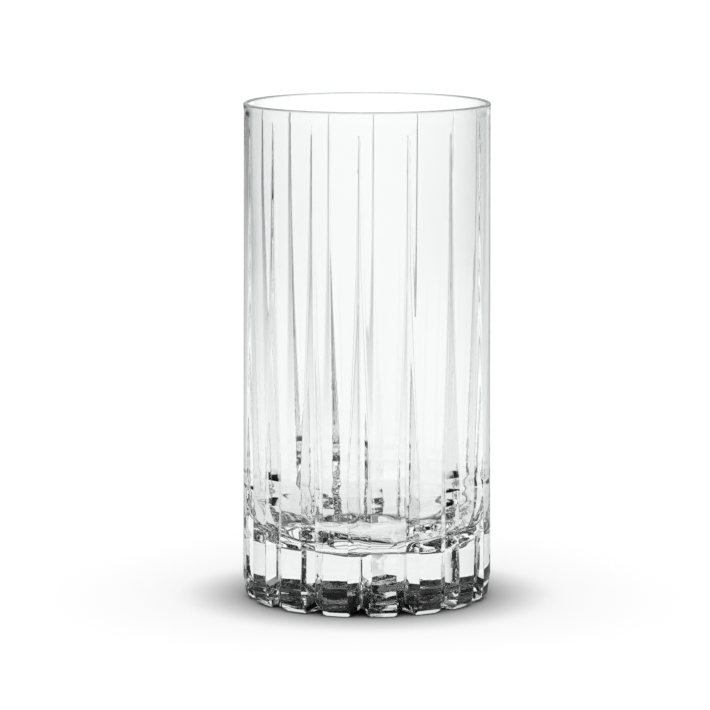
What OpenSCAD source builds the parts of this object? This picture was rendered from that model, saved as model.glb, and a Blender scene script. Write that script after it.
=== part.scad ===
// Cut-crystal highball glass, standing on z = 0 with its axis on Z and its front at -Y.
// One blank of clear glass: a thick foot, a tapering wall and a polished rim. Sixteen mitre
// cuts run down the wall, deepen at the foot, and turn in under its bottom edge.

/* [Overall] */
// Height from the table to the top of the rim
height = 150; // [135:1:170]
// Diameter of the body just above its bottom edge
body_d = 75.2; // [66:0.1:84]
// How much narrower the body is just under the rim
draw_in = 1.3; // [0:0.1:4]

/* [Rim] */
// Height of the uncut, polished band
rim_h = 3; // [2:0.1:6]
// How far the lip stands out from the wall below it
lip_out = 0.15; // [0.1:0.05:0.5]
// Thickness of the lip
lip_t = 1.3; // [0.8:0.05:1.6]

/* [Inside] */
// Thickness of the wall under the rim
wall_top_t = 1.25; // [1:0.05:2]
// Depth over which the inside runs parallel
mouth_h = 25; // [10:1:45]
// Thickness of the wall where the bowl starts to turn in to its floor
wall_low_t = 3.6; // [3:0.05:6]
// Radius of the turn from the wall to the floor
bowl_r = 14; // [10:0.5:18]
// Thickness of the solid glass under the inner floor
floor_t = 16.8; // [12:0.1:24]

/* [Bottom edge] */
// Height at which the wall starts to draw in towards the table
edge_h = 6; // [4:0.1:9]
// How far the wall draws in before the last bevel
edge_in = 0.75; // [0.2:0.05:1.5]
// Height of the last bevel
bevel_h = 1.4; // [0.8:0.1:2.4]
// Width of the last bevel
bevel_w = 1.9; // [0.8:0.1:2.4]

/* [Mitre cuts] */
// Number of cuts round the glass
cut_count = 16; // [12:1:18]
// Included angle of the cut, in degrees
cut_angle = 110; // [90:1:120]
// Turn of the first cut from the front, in degrees
cut_turn = -3.4; // [-11:0.1:11]
// Plain glass left between the tops of the cuts and the rim
cut_gap = 1; // [0.5:0.1:5]
// Length of the run-out at the top of each cut
start_run = 43; // [38:1:50]
// Depth at the lower end of that run-out
start_depth = 0.45; // [0.3:0.05:0.6]
// Height in the middle of the glass at which the cuts are still shallow
high_h = 85; // [75:1:92]
// Depth of the cuts at that height
high_depth = 0.85; // [0.7:0.05:1.1]
// Height at which the cuts are at half their depth
mid_h = 60; // [54:1:68]
// Depth of the cuts at that height
mid_depth = 1.6; // [1.3:0.05:1.8]
// Height below which the cuts are nearly at their full depth
bend_h = 43; // [36:1:48]
// Depth of the cuts at that height
bend_depth = 2.35; // [2:0.05:2.45]
// Height in the foot at which the bottom of the cuts turns in towards the axis
deep_h = 20; // [14:1:26]
// Depth of the cuts at that height
deep_depth = 2.5; // [2.1:0.05:2.6]
// Depth of the cuts at the table
foot_depth = 2.75; // [2.4:0.05:3]

/* [Cuts under the foot] */
// Height above the table at which a cut leaves the wall and turns in
notch_h = 2.5; // [1.5:0.1:4]
// Length of the cuts under the foot, from the edge of the standing face to where they run out
star_l = 14.7; // [8:0.1:20]
// Height of the bevel that follows the edges of each notch
notch_bevel_h = 1.4; // [0.6:0.1:2]

/* [Hidden] */
$fn = 96;

body_r = body_d / 2;
shoulder_r = body_r - draw_in / 2;
rim_r = shoulder_r + lip_out;
lip_r = lip_t / 2;
bevel_r = body_r - edge_in;
stand_r = bevel_r - bevel_w;
star_r = stand_r - star_l;

rim_z = height - rim_h;
mouth_z = height - mouth_h;
bowl_z = floor_t + bowl_r;
cut_z = rim_z - cut_gap;

// The foot and the wall part half-way round the turn of the bowl
part_turn = 45;
part_z = bowl_z - bowl_r * sin(part_turn);

half_angle = cut_angle / 2;
bevel_half_angle = atan(tan(half_angle) / 2);

// Overrun of the cutters past the glass
over = bevel_h;
arc_steps = 8;

// Radius of the outer cone at a height
function outer_r(z) = body_r - draw_in / 2 * (z - edge_h) / (rim_z - edge_h);

mouth_r = shoulder_r - wall_top_t;
wall_in_r = outer_r(bowl_z) - wall_low_t;

function arc(r, z, radius, from, to) =
    [for (i = [0:arc_steps]) let (a = from + (to - from) * i / arc_steps)
        [r + radius * cos(a), z + radius * sin(a)]];

// Line of the bottom of the long cuts, from the table up, as [radius, height]
cut_line = [
    [outer_r(-over) - foot_depth, -over],
    [outer_r(0) - foot_depth, 0],
    [outer_r(deep_h) - deep_depth, deep_h],
    [outer_r(bend_h) - bend_depth, bend_h],
    [outer_r(mid_h) - mid_depth, mid_h],
    [outer_r(high_h) - high_depth, high_h],
    [outer_r(cut_z - start_run) - start_depth, cut_z - start_run],
    [outer_r(cut_z), cut_z],
    [outer_r(cut_z) + start_depth, rim_z]
];

// The cuts under the foot leave the bottom line of the long cuts at the notch height
notch_r = outer_r(notch_h) - foot_depth + (foot_depth - deep_depth) * notch_h / deep_h;
star_slope = notch_h / (notch_r - star_r);
bevel_slope = 1 + star_slope;
function star_z(r) = notch_h + (r - notch_r) * star_slope;
function notch_bevel_z(r) = notch_h + notch_bevel_h + (r - notch_r) * bevel_slope;

// V cut with its bottom on a line of [radius, height] points, opening outwards
module wall_cut(line, half, reach) {
    share = sin(half);
    side = concat(
        [for (p = line) [p[0] * share, p[1]]],
        [[reach * share, line[len(line) - 1][1]], [reach * share, line[0][1]]]);
    intersection_for (flip = [0, 1])
        mirror([flip, 0, 0])
            rotate([0, 0, 180 - half])
                rotate([90, 0, 0])
                    linear_extrude(height = 2 * reach, center = true) polygon(side);
}

// V cut with its bottom on a line of [radius, height] points, opening downwards
module under_cut(line, half, depth) {
    share = sin(half);
    side = concat(
        [for (p = line) [p[1] * share, p[0]]],
        [[-depth * share, line[len(line) - 1][0]], [-depth * share, line[0][0]]]);
    intersection_for (flip = [0, 1])
        mirror([flip, 0, 0])
            rotate([0, -half, 0])
                linear_extrude(height = body_d, center = true) polygon(side);
}

// One cut: down the wall, in under the foot, and the bevel along the edges of its notch
module mitre_cut() {
    reach = body_r + over;
    star_in_r = star_r - over;
    bevel_in_r = notch_r - bevel_h - notch_bevel_h;
    wall_cut(cut_line, half_angle, reach);
    under_cut([[star_in_r, star_z(star_in_r)], [reach, star_z(reach)]],
        half_angle, star_z(reach) + over);
    under_cut([[bevel_in_r, notch_bevel_z(bevel_in_r)], [reach, notch_bevel_z(reach)]],
        bevel_half_angle, notch_bevel_z(reach) + over);
}

module mitre_cuts() {
    for (i = [0:cut_count - 1])
        rotate([0, 0, 180 + cut_turn + i * 360 / cut_count]) mitre_cut();
}

// The thick bottom with the middle of the bowl in its top
module foot() {
    color("aliceblue")
        difference() {
            rotate_extrude()
                polygon(concat(
                    [[0, 0], [stand_r, 0], [bevel_r, bevel_h], [body_r, edge_h],
                        [outer_r(part_z), part_z]],
                    arc(wall_in_r - bowl_r, bowl_z, bowl_r, -part_turn, -90),
                    [[0, floor_t]]));
            mitre_cuts();
        }
}

// The cut wall from half-way up the turn of the bowl to the foot of the rim
module wall() {
    color("azure")
        difference() {
            rotate_extrude()
                polygon(concat(
                    [[outer_r(part_z), part_z], [shoulder_r, rim_z], [mouth_r, rim_z],
                        [mouth_r, mouth_z]],
                    arc(wall_in_r - bowl_r, bowl_z, bowl_r, 0, -part_turn)));
            mitre_cuts();
        }
}

// The polished lip: a rounded bead that swells out a little from the wall
module rim() {
    color("ghostwhite")
        rotate_extrude()
            polygon(concat(
                [[mouth_r, rim_z], [shoulder_r, rim_z]],
                arc(rim_r - lip_r, height - lip_r, lip_r, 0, 180)));
}

foot();
wall();
rim();
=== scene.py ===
import math

import bpy
from mathutils import Matrix, Vector

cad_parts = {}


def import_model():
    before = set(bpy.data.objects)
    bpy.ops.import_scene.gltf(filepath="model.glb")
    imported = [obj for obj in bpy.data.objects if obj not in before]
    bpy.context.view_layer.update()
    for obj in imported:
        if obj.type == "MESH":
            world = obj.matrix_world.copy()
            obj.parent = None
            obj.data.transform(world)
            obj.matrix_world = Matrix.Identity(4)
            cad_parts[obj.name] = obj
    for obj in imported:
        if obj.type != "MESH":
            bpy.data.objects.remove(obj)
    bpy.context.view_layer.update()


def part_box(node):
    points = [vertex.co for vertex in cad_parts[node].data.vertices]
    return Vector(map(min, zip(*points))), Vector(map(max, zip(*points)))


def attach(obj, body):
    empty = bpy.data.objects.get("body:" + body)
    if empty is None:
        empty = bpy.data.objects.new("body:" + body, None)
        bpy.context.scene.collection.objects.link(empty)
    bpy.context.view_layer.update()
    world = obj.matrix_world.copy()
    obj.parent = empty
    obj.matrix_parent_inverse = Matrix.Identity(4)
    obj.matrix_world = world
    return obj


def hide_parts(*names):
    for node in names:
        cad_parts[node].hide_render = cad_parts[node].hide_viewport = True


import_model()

MM = 0.001

# Sizes of the glass, as the solids have them
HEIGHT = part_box("rim")[1].z
RIM_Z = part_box("rim")[0].z
BODY_R = 37.6 * MM
DRAW_IN = 0.65 * MM
LIP_OUT = 0.15 * MM
LIP_T = 1.3 * MM
WALL_TOP_T = 1.25 * MM
MOUTH_Z = HEIGHT - 25 * MM
WALL_LOW_T = 3.6 * MM
BOWL_R = 14 * MM
FLOOR_Z = 16.8 * MM
EDGE_Z = 6 * MM
EDGE_IN = 0.75 * MM
BEVEL_H = 1.4 * MM
BEVEL_W = 1.9 * MM
STAND_R = BODY_R - EDGE_IN - BEVEL_W

# The mitre cuts
CUTS = 16
CUT_STEP = math.tau / CUTS
CUT_TURN = math.radians(-3.4)
CUT_HALF = math.radians(55)
CUT_TOP_Z = RIM_Z - 1 * MM
NOTCH_Z = 2.5 * MM
NOTCH_BEVEL = 1.4 * MM
NOTCH_DEPTH = 2.7 * MM
STAR_L = 14.7 * MM
DOWNWARDS = Vector((0, 0, -1))

# Overrun of the cutters past the glass
OVER = 2 * MM
BEVEL_RUN = 3.5 * MM

# Depth of the long cut at each height
CUT_DEPTHS = [(-2 * MM, 2.78 * MM), (0, 2.75 * MM), (20 * MM, 2.5 * MM), (35 * MM, 2.48 * MM),
              (43 * MM, 2.35 * MM), (53 * MM, 1.93 * MM), (60 * MM, 1.64 * MM),
              (71 * MM, 1.27 * MM), (85 * MM, 0.85 * MM), (103 * MM, 0.48 * MM),
              (120 * MM, 0.34 * MM), (133 * MM, 0.25 * MM), (142 * MM, 0.17 * MM), (CUT_TOP_Z, 0)]

# The polish rounds the bottom of each cut, and its edges most of all half-way up the glass
CUT_SOFTS = [(-2 * MM, 0.12 * MM), (15 * MM, 0.12 * MM), (25 * MM, 0.2 * MM),
             (43 * MM, 0.28 * MM), (60 * MM, 0.38 * MM), (71 * MM, 0.45 * MM),
             (85 * MM, 0.52 * MM), (103 * MM, 0.55 * MM), (120 * MM, 0.32 * MM),
             (133 * MM, 0.16 * MM), (CUT_TOP_Z, 0.1 * MM)]
ROUND_BOTTOM = 0.15 * MM

# Columns in one sixteenth of the glass, the shares of them that lie on the bottom of the cut, on
# its sides and on its edges, and the least width that they take there
COLUMNS = 48
COLUMN_SHARES = [0, 0.2, 0.35, 0.75, 1]
LEAST_SIDE = 1.2 * MM
LEAST_EDGE = 0.5 * MM

# Steps of the round outlines and between two depths, and the angle up to which faces look smooth
ARC_STEPS = 24
LINE_STEPS = 8
SMOOTH_ANGLE = math.radians(8)

# Closer than this, two lengths or points are the same
SAME = 1e-6
FINER = 1e-7

# Heights of the waves in the glass: in the bowl, under the foot, on all faces, and the fine
# ripple of the polish
BOWL_WAVE = 1.5 * MM
FOOT_WAVE = 0.3 * MM
FACE_WAVE = 0.006 * MM
FINE_WAVE = 0.005 * MM

# The waves are 4 mm apart up the glass and five times as long round it, and the ripple is finer
WAVES_PER_M = 250.0
RIPPLES_PER_M = 700.0
ROUND_SHARE = 0.2

# The fire leaves the top of the lip a little less clear than the wall
LIP_ROUGH = 0.75

# Heights between which each of these comes in, and at which the waves of the bowl go out
BOWL_IN = (17 * MM, 20 * MM)
BOWL_OUT = (46 * MM, 28 * MM)
FOOT_IN = (4 * MM, 2 * MM)
RIPPLE_IN = (95 * MM, 60 * MM)
LIP_IN = (HEIGHT - 0.8 * MM, HEIGHT - 0.3 * MM)


def outer_r(z):
    """Radius of the plain wall at a height."""
    return BODY_R - DRAW_IN * (z - EDGE_Z) / (RIM_Z - EDGE_Z)


def arc(r, z, radius, start, stop, steps):
    """Points of an arc in the outline, as (radius, height), angles in degrees from outwards."""
    points = []
    for i in range(steps + 1):
        angle = math.radians(start + (stop - start) * i / steps)
        points.append((r + radius * math.cos(angle), z + radius * math.sin(angle)))
    return points


def smooth_line(points, steps):
    """A soft curve through the points, as one steady hand on the wheel gives it."""
    ends = [points[0], *points, points[-1]]
    line = []
    for a, b, c, d in zip(ends, ends[1:], ends[2:], ends[3:]):
        for i in range(steps):
            t = i / steps
            line.append(tuple(
                0.5 * (2 * q + (r - p) * t + (2 * p - 5 * q + 4 * r - s) * t * t
                       + (3 * q - p - 3 * r + s) * t ** 3)
                for p, q, r, s in zip(a, b, c, d)))
    return [*line, points[-1]]


DEPTH_LINE = smooth_line(CUT_DEPTHS, LINE_STEPS)


def along(line, z):
    """Value of a line of (height, value) points at a height, and 0 above it."""
    for (low, first), (high, last) in zip(line, line[1:]):
        if low <= z <= high:
            return first + (last - first) * (z - low) / (high - low)
    return 0.0


def to_edit(piece, mode="VERT"):
    bpy.ops.object.select_all(action="DESELECT")
    bpy.context.view_layer.objects.active = piece
    piece.select_set(True)
    bpy.ops.object.mode_set(mode="EDIT")
    bpy.ops.mesh.select_mode(type=mode)


def outline(name, points):
    """A closed flat face drawn point by point."""
    bpy.ops.object.select_all(action="DESELECT")
    bpy.ops.mesh.primitive_plane_add(size=MM, location=(0, 0, 0))
    piece = bpy.context.object
    piece.name = piece.data.name = name
    to_edit(piece)
    bpy.ops.mesh.select_all(action="SELECT")
    bpy.ops.mesh.merge(type="CENTER")
    bpy.ops.transform.translate(value=points[0])
    for here, there in zip(points, points[1:]):
        bpy.ops.mesh.extrude_region_move(
            TRANSFORM_OT_translate={"value": Vector(there) - Vector(here)})
    bpy.ops.mesh.select_all(action="SELECT")
    bpy.ops.mesh.edge_face_add()
    bpy.ops.object.mode_set(mode="OBJECT")
    return piece


def outside_r(z):
    """Radius of the blank, with its drawn-in bottom edge and last bevel."""
    if z < BEVEL_H:
        return STAND_R + BEVEL_W * z / BEVEL_H
    if z < EDGE_Z:
        return BODY_R - EDGE_IN * (EDGE_Z - z) / (EDGE_Z - BEVEL_H)
    return outer_r(z)


def outside_rows():
    """Heights of the rows of the outside, closer together where the cuts deepen."""
    bands = [(0, BEVEL_H, 2), (BEVEL_H, EDGE_Z, 3), (EDGE_Z, 20 * MM, 7), (20 * MM, 40 * MM, 14),
             (40 * MM, 105 * MM, 36), (105 * MM, CUT_TOP_Z, 14), (CUT_TOP_Z, RIM_Z, 1)]
    rows = [low + (high - low) * i / count
            for low, high, count in bands for i in range(count)]
    return [*rows, RIM_Z]


def blank_outline():
    """Half section of the blank, from the middle of the standing face round to the inner floor."""
    wall_in_r = outer_r(FLOOR_Z + BOWL_R) - WALL_LOW_T
    mouth_r = outer_r(RIM_Z) - WALL_TOP_T
    lip_r = outer_r(RIM_Z) + LIP_OUT - LIP_T / 2
    outside = [(0, 0)] + [(outside_r(z), z) for z in outside_rows()]
    lip = arc(lip_r, HEIGHT - LIP_T / 2, LIP_T / 2, 0, 180, ARC_STEPS)
    inside = [(mouth_r, RIM_Z), (mouth_r, MOUTH_Z), (wall_in_r, FLOOR_Z + BOWL_R)]
    bowl = arc(wall_in_r - BOWL_R, FLOOR_Z + BOWL_R, BOWL_R, 0, -90, ARC_STEPS)
    return outside + lip + inside + bowl[1:] + [(0, FLOOR_Z)]


def blank_wedge():
    """One sixteenth of the blank, centred on the cut at the back, closed at both sides."""
    half = CUT_STEP / 2
    points = [(-r * math.sin(half), r * math.cos(half), z) for r, z in blank_outline()]
    wedge = outline("tumbler", points)
    to_edit(wedge)
    bpy.ops.mesh.select_all(action="SELECT")
    bpy.ops.mesh.spin(steps=COLUMNS, angle=CUT_STEP, center=(0, 0, 0), axis=(0, 0, 1))
    bpy.ops.mesh.select_all(action="SELECT")
    bpy.ops.mesh.remove_doubles(threshold=FINER)
    bpy.ops.mesh.normals_make_consistent(inside=False)
    bpy.ops.object.mode_set(mode="OBJECT")
    return wedge


def wheel_cut(name, line, opening, reach, half):
    """A V cutter whose bottom follows the line and whose mouth lies at one reach."""
    def triangle(point):
        point = Vector(point)
        depth = reach - point.dot(opening)
        side = Vector((depth * math.tan(half), 0, 0))
        return [point, point + opening * depth + side, point + opening * depth - side]

    cutter = outline(name, triangle(line[0]))
    to_edit(cutter, "FACE")
    bpy.ops.mesh.select_all(action="SELECT")
    for here, there in zip(line, line[1:]):
        here, there = Vector(here), Vector(there)
        onwards = there - here
        onwards -= opening * onwards.dot(opening)
        ratio = (reach - there.dot(opening)) / (reach - here.dot(opening))
        bpy.ops.mesh.extrude_region_move(TRANSFORM_OT_translate={"value": onwards})
        mouth = there + opening * (reach - there.dot(opening))
        bpy.ops.transform.resize(value=(ratio, ratio, ratio), center_override=mouth)
    bpy.ops.mesh.select_all(action="SELECT")
    bpy.ops.mesh.normals_make_consistent(inside=False)
    bpy.ops.object.mode_set(mode="OBJECT")
    return cutter


def cut_away(piece, cutter):
    bpy.ops.object.select_all(action="DESELECT")
    bpy.context.view_layer.objects.active = piece
    piece.select_set(True)
    cut = piece.modifiers.new("cut", "BOOLEAN")
    cut.operation = "DIFFERENCE"
    cut.solver = "EXACT"
    cut.object = cutter
    bpy.ops.object.modifier_apply(modifier=cut.name)
    bpy.data.objects.remove(cutter)


def column_place(share, depth, soft):
    """Place of a column across the wall: most lie on the bottom and the edges of the cut."""
    half_wall = BODY_R * math.tan(CUT_STEP / 2)
    half_width = max(depth * math.tan(CUT_HALF), LEAST_SIDE)
    soft_width = max(soft * math.tan(CUT_HALF), LEAST_EDGE)
    inner = max(half_width - soft_width, 2 * ROUND_BOTTOM)
    places = [0, ROUND_BOTTOM, inner, half_width + soft_width, half_wall]
    for s0, s1, x0, x1 in zip(COLUMN_SHARES, COLUMN_SHARES[1:], places, places[1:]):
        if share < s1:
            return (x0 + (x1 - x0) * (share - s0) / (s1 - s0)) / half_wall
    return 1.0


def grind(wedge):
    """Gathers the columns at the cut and moves them in to it: a V with a softly polished edge
    and bottom."""
    slope = 1 / math.tan(CUT_HALF)
    for vertex in wedge.data.vertices:
        x, y, z = vertex.co
        radius = math.hypot(x, y)
        if radius < SAME:
            continue
        outside = z <= RIM_Z and radius > outside_r(z) - SAME
        depth = along(DEPTH_LINE, z) if outside else 0
        soft = along(CUT_SOFTS, z)
        share = math.atan2(x, y) / (CUT_STEP / 2)
        angle = math.copysign(column_place(abs(share), depth, soft), share) * CUT_STEP / 2
        if depth > 10 * SAME:
            bottom = ROUND_BOTTOM / BODY_R
            across = math.hypot(math.sin(angle), bottom) - bottom
            cut_r = (outer_r(z) - depth) / (math.cos(angle) - across * slope)
            near = max(soft - abs(radius - cut_r), 0) / soft
            radius = min(radius, cut_r) - near * near * soft / 4
        vertex.co = (radius * math.sin(angle), radius * math.cos(angle), z)


def tumbler():
    """The whole glass: one wedge of the blank, cut, then set round the axis."""
    wedge = blank_wedge()
    reach = BODY_R + OVER
    grind(wedge)
    notch_r = outer_r(NOTCH_Z) - NOTCH_DEPTH
    star_r = STAND_R - STAR_L
    slope = NOTCH_Z / (notch_r - star_r)
    under = [(0, r, (r - star_r) * slope) for r in (star_r - OVER, reach)]
    cut_away(wedge, wheel_cut("star_wheel", under, DOWNWARDS, 2 * OVER, CUT_HALF))
    bevel = [(0, r, NOTCH_Z + NOTCH_BEVEL + (r - notch_r) * (1 + slope))
             for r in (notch_r - BEVEL_RUN, reach)]
    bevel_half = math.atan(math.tan(CUT_HALF) / 2)
    cut_away(wedge, wheel_cut("bevel_wheel", bevel, DOWNWARDS, 2 * OVER, bevel_half))
    open_sides(wedge)
    set_round(wedge)
    return wedge


def open_sides(wedge):
    """Takes off the two flat sides of the wedge."""
    half = CUT_STEP / 2
    sides = [Vector((math.cos(half), turn * math.sin(half), 0)) for turn in (-1, 1)]
    for face in wedge.data.polygons:
        corners = [wedge.data.vertices[i].co for i in face.vertices]
        face.select = any(all(abs(co.dot(s)) < FINER for co in corners) for s in sides)
    to_edit(wedge, "FACE")
    bpy.ops.mesh.delete(type="FACE")
    bpy.ops.object.mode_set(mode="OBJECT")


def set_round(wedge):
    """Sets sixteen wedges round the axis, welds them and turns the first cut to its place."""
    to_edit(wedge)
    bpy.ops.mesh.select_all(action="SELECT")
    bpy.ops.mesh.spin(steps=CUTS - 1, dupli=True, angle=CUT_STEP * (CUTS - 1),
                      center=(0, 0, 0), axis=(0, 0, 1))
    bpy.ops.mesh.select_all(action="SELECT")
    bpy.ops.mesh.remove_doubles(threshold=2 * SAME)
    bpy.ops.mesh.normals_make_consistent(inside=False)
    bpy.ops.object.mode_set(mode="OBJECT")
    wedge.data.transform(Matrix.Rotation(math.pi + CUT_TURN, 4, "Z"))
    bpy.ops.object.select_all(action="DESELECT")
    bpy.context.view_layer.objects.active = wedge
    wedge.select_set(True)
    bpy.ops.object.shade_smooth_by_angle(angle=SMOOTH_ANGLE)


def linear(hex_colour):
    """sRGB hex to the linear colour that shaders take."""
    channels = [int(hex_colour[i:i + 2], 16) / 255 for i in (1, 3, 5)]
    return (*[c / 12.92 if c <= 0.04045 else ((c + 0.055) / 1.055) ** 2.4 for c in channels], 1)


def node(tree, kind, links=None, **settings):
    """Adds a node, sets its fields and sockets, and links its inputs."""
    made = tree.nodes.new(kind)
    for key, value in settings.items():
        if hasattr(made, key):
            setattr(made, key, value)
        else:
            made.inputs[key.replace("_", " ")].default_value = value
    for key, source in (links or {}).items():
        tree.links.new(source, made.inputs[key])
    return made


def material(name):
    made = bpy.data.materials.new(name)
    made.use_nodes = True
    made.node_tree.nodes.clear()
    return made


def math_node(tree, operation, *values):
    """A Math node; each value is a number or a socket."""
    made = tree.nodes.new("ShaderNodeMath")
    made.operation = operation
    for socket, value in zip(made.inputs, values):
        if isinstance(value, (int, float)):
            socket.default_value = value
        else:
            tree.links.new(value, socket)
    return made.outputs[0]


def fade(tree, value, start, stop):
    """0 at the start and 1 at the stop, with a soft change between."""
    ramp = node(tree, "ShaderNodeMapRange", {"Value": value}, interpolation_type="SMOOTHSTEP",
                From_Min=start, From_Max=stop)
    return ramp.outputs["Result"]


def tones(tree, value, points):
    """A grey that follows the points (value, tone) in straight lines."""
    ramp = node(tree, "ShaderNodeValToRGB", {"Fac": value})
    stops = ramp.color_ramp.elements
    for place, colour in points[1:-1]:
        stops.new(place).color = linear(colour)
    for stop, (place, colour) in ((stops[0], points[0]), (stops[-1], points[-1])):
        stop.position, stop.color = place, linear(colour)
    return node(tree, "ShaderNodeSeparateColor", {"Color": ramp.outputs["Color"]}).outputs["Red"]


def mix(tree, share, first, second):
    """The first number where the share is 0 and the second where it is 1."""
    change = math_node(tree, "SUBTRACT", second, first)
    return math_node(tree, "MULTIPLY_ADD", change, share, first)


def lead_crystal():
    """Clear lead crystal, with the soft waves that pressing leaves low in the bowl and the fine
    ones that polishing leaves on the cuts."""
    made = material("lead_crystal")
    tree = made.node_tree
    place = node(tree, "ShaderNodeTexCoord").outputs["Object"]
    spot = node(tree, "ShaderNodeSeparateXYZ", {"Vector": place}).outputs
    flat = node(tree, "ShaderNodeVectorMath", {0: place}, operation="MULTIPLY")
    flat.inputs[1].default_value = (ROUND_SHARE, ROUND_SHARE, 1)
    waves = node(tree, "ShaderNodeTexNoise", {"Vector": flat.outputs["Vector"]},
                 Scale=WAVES_PER_M, Detail=0.0)
    ripple = node(tree, "ShaderNodeTexNoise", {"Vector": place}, Scale=RIPPLES_PER_M, Detail=1.0)
    in_bowl = math_node(tree, "MULTIPLY", fade(tree, spot["Z"], *BOWL_IN),
                        fade(tree, spot["Z"], *BOWL_OUT))
    low = math_node(tree, "MULTIPLY_ADD", in_bowl, BOWL_WAVE, FACE_WAVE)
    under_foot = fade(tree, spot["Z"], *FOOT_IN)
    low = math_node(tree, "MULTIPLY_ADD", under_foot, FOOT_WAVE, low)
    centred = math_node(tree, "SUBTRACT", waves.outputs["Fac"], 0.5)
    height = math_node(tree, "MULTIPLY", centred, low)
    fine = math_node(tree, "MULTIPLY", fade(tree, spot["Z"], *RIPPLE_IN), FINE_WAVE)
    height = math_node(tree, "MULTIPLY_ADD", ripple.outputs["Fac"], fine, height)
    bump = node(tree, "ShaderNodeBump", {"Height": height}, Strength=1.0, Distance=1.0)
    at_lip = fade(tree, spot["Z"], *LIP_IN)
    lip = math_node(tree, "MULTIPLY", at_lip, LIP_ROUGH)
    glass = node(tree, "ShaderNodeBsdfPrincipled",
                 {"Normal": bump.outputs["Normal"], "Roughness": lip},
                 Base_Color=linear("#FDFEFE"), IOR=1.52, Transmission_Weight=1.0)
    node(tree, "ShaderNodeOutputMaterial", {"Surface": glass.outputs["BSDF"]})
    return made


# Painted light and shade of the table as the glass sees it, by direction from the glass, in
# degrees to the right of straight behind, close to the glass and beyond a metre: a painted pool of
# light straight behind, and painted shade in front, to the sides and further off
NEAR_TONES = [(-180, "#D0D0D0"), (-120, "#E4E4E4"), (-60, "#E4E4E4"), (-45, "#E8E8E8"),
              (-30, "#F2F2F2"), (-8, "#F4F4F4"), (30, "#F4F4F4"), (45, "#E8E8E8"),
              (62, "#E0E0E0"), (75, "#E0E0E0"), (120, "#E4E4E4"), (180, "#D0D0D0")]
FAR_TONES = [(-180, "#686868"), (-105, "#303030"), (-75, "#202020"), (-45, "#303030"),
             (-31, "#505050"), (-23, "#484848"), (-17, "#A0A0A0"), (-10, "#FFFFFF"),
             (24, "#FFFFFF"), (36, "#787878"), (62, "#303030"), (110, "#303030"),
             (180, "#686868")]

# White at either side, where the far tones begin at once: painted shade on the table there, as if
# a dark card hid it
CARD_TONES = [(-180, "#000000"), (-150, "#000000"), (-130, "#FFFFFF"), (-50, "#FFFFFF"),
              (-38, "#000000"), (38, "#000000"), (50, "#FFFFFF"), (130, "#FFFFFF"),
              (150, "#000000"), (180, "#000000")]
CARD_IN = (0.5, 0.75)

# Where the far tones begin, where they would be full, and how much of them there is there
FAR_START, FAR_FULL, FAR_SHARE = 0.27, 1.52, 1.2
DARKEST = 0.01

# Rings of shade that the foot throws on the table, by radius in millimetres
RINGS_R = 60
FOOT_RINGS = [(0, "#FCFCFC"), (20.5, "#FCFCFC"), (21.3, "#707070"), (22.1, "#FCFCFC"),
              (25.6, "#FCFCFC"), (26.4, "#404040"), (27.4, "#FCFCFC"), (30.2, "#FCFCFC"),
              (31.2, "#303030"), (32.4, "#E0E0E0"), (33.4, "#E0E0E0"), (34.4, "#181818"),
              (37.6, "#181818"), (41, "#C8C8C8"), (50, "#FCFCFC"), (RINGS_R, "#FFFFFF")]

# The contact shadow: its reach and how steeply it darkens; and the painted shade that dims the
# table where the glass reflects it
SHADOW_R = 22 * MM
SHADOW_POWER = 1.4
REFLECTED_SHADE = 0.6

# Light of the table: to the camera, and through the glass near it, with what comes in further
# out and under the foot
CAMERA_LIGHT = 1.07
NEAR_LIGHT, OUTER_LIGHT, FOOT_LIGHT = 1.05, 0.08, 0.4
OUTER_IN = (80 * MM, 200 * MM)
UNDER_IN = (55 * MM, 40 * MM)

TABLE_R = 8
TABLE_GAP = 0.03 * MM


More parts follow.
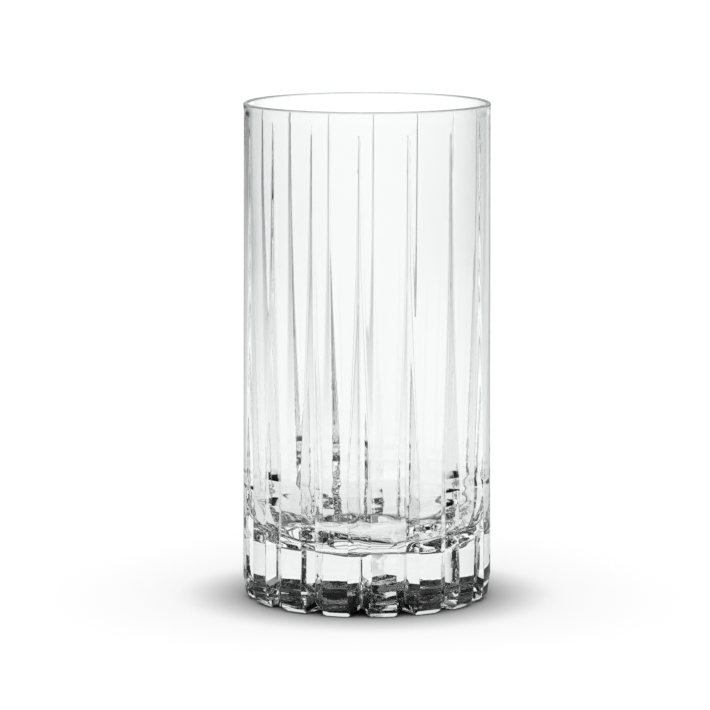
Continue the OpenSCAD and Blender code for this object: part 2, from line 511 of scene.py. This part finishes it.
def white_table():
    """A white table to the camera. The glass sees it as a painted glow, with painted light and
    shade:
    a pool of light behind and under the glass, darker tones further off, and rings of shade round
    its own foot."""
    made = material("white_table")
    tree = made.node_tree
    path = tree.nodes.new("ShaderNodeLightPath").outputs
    place = node(tree, "ShaderNodeTexCoord").outputs["Object"]
    spot = node(tree, "ShaderNodeSeparateXYZ", {"Vector": place}).outputs
    angle = math_node(tree, "ARCTAN2", spot["X"], spot["Y"])
    turn = math_node(tree, "MULTIPLY_ADD", angle, 1 / math.tau, 0.5)
    away = node(tree, "ShaderNodeVectorMath", {0: place}, operation="LENGTH").outputs["Value"]
    near, far, card = [
        tones(tree, turn, [(degrees / 360 + 0.5, colour) for degrees, colour in points])
        for points in (NEAR_TONES, FAR_TONES, CARD_TONES)]
    share = node(tree, "ShaderNodeMapRange", {"Value": away}, interpolation_type="LINEAR",
                 From_Min=FAR_START, From_Max=FAR_FULL, To_Max=FAR_SHARE)
    # Painted shade at either side of the table, where the far tones begin at once
    side_shade = math_node(tree, "MULTIPLY", fade(tree, away, *CARD_IN), card)
    share = math_node(tree, "MAXIMUM", share.outputs["Result"], side_shade)
    tone = math_node(tree, "MAXIMUM", mix(tree, share, near, far), DARKEST)
    shade = node(tree, "ShaderNodeCombineColor", {"Red": tone, "Green": tone, "Blue": tone})
    near_foot = node(tree, "ShaderNodeAmbientOcclusion", Distance=SHADOW_R)
    open_share = math_node(tree, "POWER", near_foot.outputs["AO"], SHADOW_POWER)
    lift = math_node(tree, "SUBTRACT", CAMERA_LIGHT, tone)
    lift = math_node(tree, "MULTIPLY", lift, open_share)
    lift = math_node(tree, "MULTIPLY", lift, path["Is Camera Ray"])
    glow = node(tree, "ShaderNodeEmission", {"Strength": lift}, Color=linear("#FFFFFF"))
    shadow = math_node(tree, "MULTIPLY", tone, open_share)
    # Painted shade: the table is darker where the glass reflects it
    reflected_shade = math_node(tree, "MULTIPLY_ADD", path["Is Glossy Ray"], -REFLECTED_SHADE, 1.0)
    shadow = math_node(tree, "MULTIPLY", shadow, reflected_shade)
    shadow = node(tree, "ShaderNodeCombineColor", {"Red": shadow, "Green": shadow, "Blue": shadow})
    matt = node(tree, "ShaderNodeBsdfDiffuse", {"Color": shadow.outputs[0]})
    both = node(tree, "ShaderNodeAddShader", {0: matt.outputs[0], 1: glow.outputs[0]})
    # Painted light: the table glows through the glass, brighter under the foot, with painted rings
    # of shade
    under = math_node(tree, "MULTIPLY_ADD", fade(tree, away, *OUTER_IN),
                      OUTER_LIGHT, NEAR_LIGHT)
    under = math_node(tree, "MULTIPLY_ADD", fade(tree, away, *UNDER_IN),
                      FOOT_LIGHT, under)
    rings = tones(tree, math_node(tree, "DIVIDE", away, RINGS_R * MM),
                  [(radius / RINGS_R, colour) for radius, colour in FOOT_RINGS])
    under = math_node(tree, "MULTIPLY", under, rings)
    painted_glow = node(tree, "ShaderNodeEmission", {"Color": shade.outputs[0], "Strength": under})
    seen = node(tree, "ShaderNodeMixShader",
                {0: path["Is Transmission Ray"], 1: both.outputs[0], 2: painted_glow.outputs[0]})
    node(tree, "ShaderNodeOutputMaterial", {"Surface": seen.outputs[0]})
    return made


def floor():
    """The table top, a hair below the glass so that their faces don't fight."""
    bpy.ops.object.select_all(action="DESELECT")
    bpy.ops.mesh.primitive_circle_add(vertices=96, radius=TABLE_R, fill_type="NGON",
                                      location=(0, 0, 0))
    piece = bpy.context.object
    piece.name = piece.data.name = "table"
    piece.data.transform(Matrix.Translation((0, 0, -TABLE_GAP)))
    piece.data.materials.append(white_table())


# Tones of the room by height of the direction, behind the glass and on the side of the camera
BACK_TONES = [(0, "#B0B0B0"), (0.09, "#888888"), (0.13, "#080808"), (0.56, "#080808"),
              (0.6, "#606060"), (0.8, "#606060"), (0.84, "#181818"), (1.0, "#181818")]
FRONT_TONES = [(0, "#202020"), (0.3, "#202020"), (0.34, "#B0B0B0"), (0.56, "#B0B0B0"),
               (0.6, "#181818"), (1.0, "#181818")]

# To either side the back of the room is as it is higher up
ASIDE_LIFT = 0.14
LEFT_IN = (-0.05, -0.15)
RIGHT_IN = (0.45, 0.55)
BACK_IN = (-0.5, 0.2)


def world():
    """A white room to the camera and to matt things. The glass shows a dim one with pale bands."""
    made = bpy.data.worlds.new("studio")
    bpy.context.scene.world = made
    made.use_nodes = True
    tree = made.node_tree
    tree.nodes.clear()
    path = tree.nodes.new("ShaderNodeLightPath").outputs
    through = math_node(tree, "MAXIMUM", path["Is Glossy Ray"], path["Is Transmission Ray"])
    unseen = math_node(tree, "SUBTRACT", 1.0, path["Is Camera Ray"])
    through = math_node(tree, "MULTIPLY", through, unseen)
    way = node(tree, "ShaderNodeTexCoord").outputs["Generated"]
    part = node(tree, "ShaderNodeSeparateXYZ", {"Vector": way}).outputs
    aside = math_node(tree, "ADD", fade(tree, part["X"], *LEFT_IN),
                      fade(tree, part["X"], *RIGHT_IN))
    back = tones(tree, math_node(tree, "MULTIPLY_ADD", aside, ASIDE_LIFT, part["Z"]), BACK_TONES)
    front = tones(tree, part["Z"], FRONT_TONES)
    room = mix(tree, fade(tree, part["Y"], *BACK_IN), front, back)
    tone = mix(tree, through, 1.0, room)
    glow = node(tree, "ShaderNodeBackground", {"Strength": tone}, Color=linear("#FFFFFF"))
    node(tree, "ShaderNodeOutputWorld", {"Surface": glow.outputs[0]})


# The photograph's view: a long lens, a little above the glass and looking down at it
FOCAL_PIXELS, FRAME_PIXELS = 4060, 710
SENSOR = 36
CAMERA_AT = (0, -1.214, 0.25115)
LOOK_DOWN = 0.1454
TURN = 0.003


def camera():
    data = bpy.data.cameras.new("camera")
    made = bpy.data.objects.new("camera", data)
    bpy.context.scene.collection.objects.link(made)
    data.lens = FOCAL_PIXELS / FRAME_PIXELS * SENSOR
    data.sensor_width = SENSOR
    made.location = CAMERA_AT
    made.rotation_euler = (math.pi / 2 - LOOK_DOWN, 0, TURN)
    data.clip_start, data.clip_end = 0.05, 100
    bpy.context.scene.camera = made


# Light passes many faces in cut glass
BOUNCES = 32

scene = bpy.context.scene
scene.view_settings.view_transform = "Standard"
scene.cycles.max_bounces = BOUNCES
scene.cycles.transmission_bounces = BOUNCES
scene.cycles.glossy_bounces = BOUNCES
camera()
world()
floor()
glass = tumbler()
glass.data.materials.clear()
glass.data.materials.append(lead_crystal())
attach(glass, "root")
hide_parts("foot", "wall", "rim")
